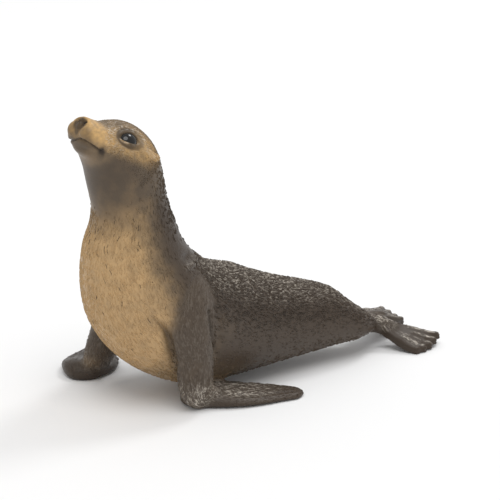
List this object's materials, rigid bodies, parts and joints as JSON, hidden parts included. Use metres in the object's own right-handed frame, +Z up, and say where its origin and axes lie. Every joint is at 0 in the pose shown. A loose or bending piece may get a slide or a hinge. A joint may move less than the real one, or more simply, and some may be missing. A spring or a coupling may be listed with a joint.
{
  "type": "sea lion figure",
  "caption": "Moulded toy sea lion sitting up on its foreflippers, head raised, hind end swung to one side.",
  "frame": {"origin": "On the floor, under the middle of the figure's bounding box.", "axes": "+Z up, -Y the way the chest and head face, +X the animal's left side."},
  "size_m": [0.0577, 0.096, 0.0683],
  "materials": {
    "tan_fur": "painted PVC, sculpted fur, satin",
    "brown_fur": "painted PVC, sculpted fur, satin",
    "back_fur": "painted PVC, sculpted fur with dry-brushed highlights, satin",
    "flipper_skin": "painted PVC, smooth, satin",
    "eye_gloss": "gloss enamel"
  },
  "bodies": {
    "root": {"head": "tan_fur", "neck": "brown_fur", "chest": "tan_fur", "belly": "back_fur", "hindquarters": "back_fur", "tail": "back_fur", "left_eye": "eye_gloss", "right_eye": "eye_gloss", "left_ear": "tan_fur", "right_ear": "tan_fur", "left_arm": "brown_fur", "right_arm": "brown_fur", "left_foreflipper": "flipper_skin", "right_foreflipper": "flipper_skin", "left_hind_flipper": "flipper_skin", "right_hind_flipper": "flipper_skin"}
  },
  "joints": []
}
